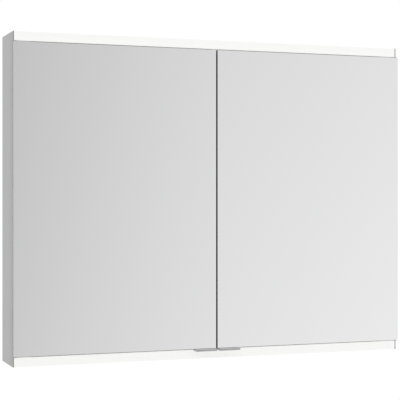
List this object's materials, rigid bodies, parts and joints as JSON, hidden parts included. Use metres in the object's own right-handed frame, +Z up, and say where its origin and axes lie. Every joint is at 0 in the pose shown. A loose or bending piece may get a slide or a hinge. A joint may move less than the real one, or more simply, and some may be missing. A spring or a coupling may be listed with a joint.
{
  "type": "medicine cabinet with mirror",
  "caption": "Wall-hung bathroom mirror cabinet: aluminium body, double-sided mirror doors, opal light strips above and below, glass shelves inside.",
  "frame": {"origin": "centre of the rear face, on the wall", "axes": "+X to the viewer's right, +Y into the wall, +Z up"},
  "size_m": [0.9, 0.133, 0.7],
  "materials": {
    "anodised_aluminium": "satin",
    "white_panel": "matte",
    "grey_panel": "satin",
    "interior_mirror": "polished",
    "front_mirror": "polished",
    "opal_acrylic": "satin",
    "screw_steel": "satin",
    "circuit_board": "matte",
    "diode": "gloss",
    "white_plastic": "satin",
    "lead_jacket": "matte",
    "black_rubber": "matte",
    "button_metal": "satin",
    "shelf_glass": "polished",
    "polished_steel": "polished",
    "zinc_steel": "satin",
    "clear_silicone": "satin",
    "grey_plastic": "matte",
    "brushed_steel": "satin",
    "nylon": "matte",
    "door_carrier": "satin",
    "grip_metal": "satin"
  },
  "bodies": {
    "cabinet": {"side_panel_left": "anodised_aluminium", "side_panel_right": "anodised_aluminium", "side_liner_left": "white_panel", "side_liner_right": "white_panel", "divider": "white_panel", "back_panel": "grey_panel", "back_mirror_left": "interior_mirror", "back_mirror_right": "interior_mirror", "light_housing_top": "anodised_aluminium", "light_housing_bottom": "anodised_aluminium", "diffuser_top": "opal_acrylic", "diffuser_bottom": "opal_acrylic", "cover_top": "anodised_aluminium", "cover_bottom": "anodised_aluminium", "cover_screws": "screw_steel", "led_board_top": "circuit_board", "led_board_bottom": "circuit_board", "led_chips_top": "diode", "led_chips_bottom": "diode", "led_driver": "white_plastic", "terminal_block": "white_plastic", "driver_lead": "lead_jacket", "lead_top": "lead_jacket", "lead_bottom": "lead_jacket", "cable_grommet": "black_rubber", "service_box": "white_plastic", "socket_insert": "white_plastic", "switch_block": "white_plastic", "shelf_left_upper": "shelf_glass", "shelf_left_lower": "shelf_glass", "shelf_right_upper": "shelf_glass", "shelf_right_lower": "shelf_glass", "shelf_pins": "polished_steel", "wall_washers": "zinc_steel", "door_bumpers": "clear_silicone", "magnet_catches": "grey_plastic", "pivot_brackets_left": "brushed_steel", "pivot_brackets_right": "brushed_steel", "pivot_pins_left": "polished_steel", "pivot_pins_right": "polished_steel", "bracket_screws": "screw_steel"},
    "door_left": {"door_mirror_left": "front_mirror", "door_core_left": "door_carrier", "door_rear_mirror_left": "interior_mirror", "grip_left": "grip_metal", "pivot_shoes_left": "brushed_steel", "pivot_washers_left": "nylon", "catch_discs_left": "polished_steel"},
    "door_right": {"door_mirror_right": "front_mirror", "door_core_right": "door_carrier", "door_rear_mirror_right": "interior_mirror", "grip_right": "grip_metal", "pivot_shoes_right": "brushed_steel", "pivot_washers_right": "nylon", "catch_discs_right": "polished_steel"},
    "upper_button": {"button_upper": "button_metal"},
    "lower_button": {"button_lower": "button_metal"}
  },
  "joints": [
    {"name": "door_left_hinge", "type": "hinge", "parent": "cabinet", "child": "door_left", "pos_m": [-0.4455, -0.1166, 0], "axis": [0, 0, -1], "range_deg": [0, 105]},
    {"name": "door_right_hinge", "type": "hinge", "parent": "cabinet", "child": "door_right", "pos_m": [0.4455, -0.1166, 0], "axis": [0, 0, 1], "range_deg": [0, 105]},
    {"name": "button_upper_press", "type": "slide", "parent": "cabinet", "child": "upper_button", "axis": [0, 1, 0], "range_m": [0, 0.002], "stiffness_N_per_m": 400, "springref_m": -0.001},
    {"name": "button_lower_press", "type": "slide", "parent": "cabinet", "child": "lower_button", "axis": [0, 1, 0], "range_m": [0, 0.002], "stiffness_N_per_m": 400, "springref_m": -0.001}
  ]
}
